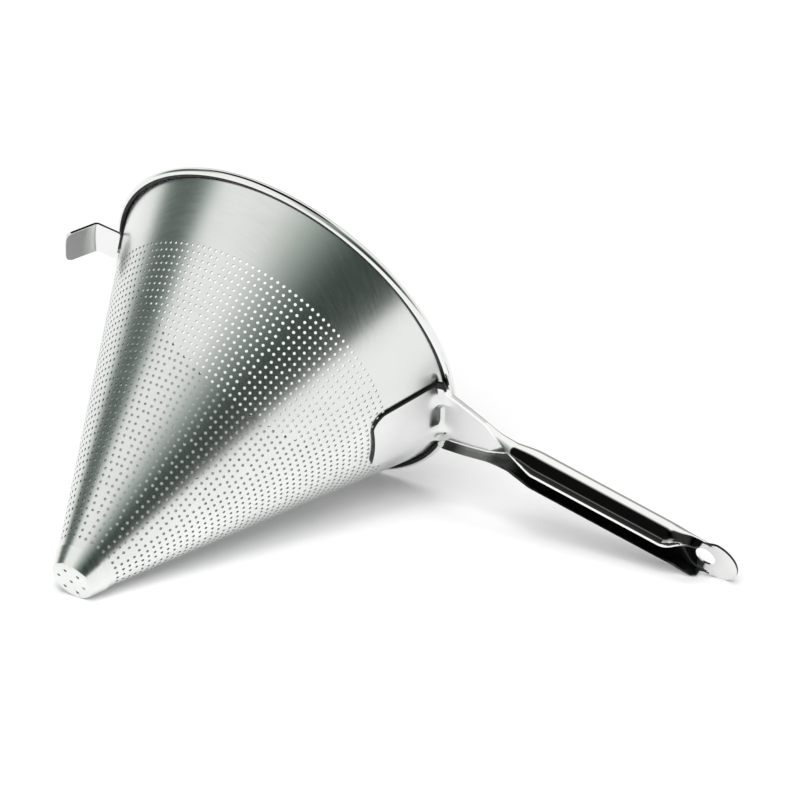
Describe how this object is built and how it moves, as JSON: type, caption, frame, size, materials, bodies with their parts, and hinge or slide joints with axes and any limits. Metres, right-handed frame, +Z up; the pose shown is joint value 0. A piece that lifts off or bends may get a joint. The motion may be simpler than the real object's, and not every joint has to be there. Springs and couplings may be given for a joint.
{
  "type": "chinois strainer",
  "caption": "Conical perforated steel strainer with a banded rim, a tip cap, a folded sheet handle with a hanging hole, and a flat pot hook, lying on its side.",
  "frame": {"origin": "centre of the bounding box on the surface that the strainer lies on", "axes": "+Z up, +X towards the end of the handle, the cone's wide opening faces +Y and a little up"},
  "size_m": [0.4559, 0.2772, 0.228],
  "materials": {
    "satin_steel": "satin, perforated",
    "polished_steel": "polished",
    "plain_wire": "drawn",
    "satin_steel_cap": "satin, pressed",
    "polished_steel_handle": "polished",
    "polished_steel_hook": "polished"
  },
  "bodies": {
    "root": {"cone_body": "satin_steel", "rim_band": "polished_steel", "rim_wire": "plain_wire", "tip_cap": "satin_steel_cap", "handle": "polished_steel_handle", "pot_hook": "polished_steel_hook"}
  },
  "joints": []
}
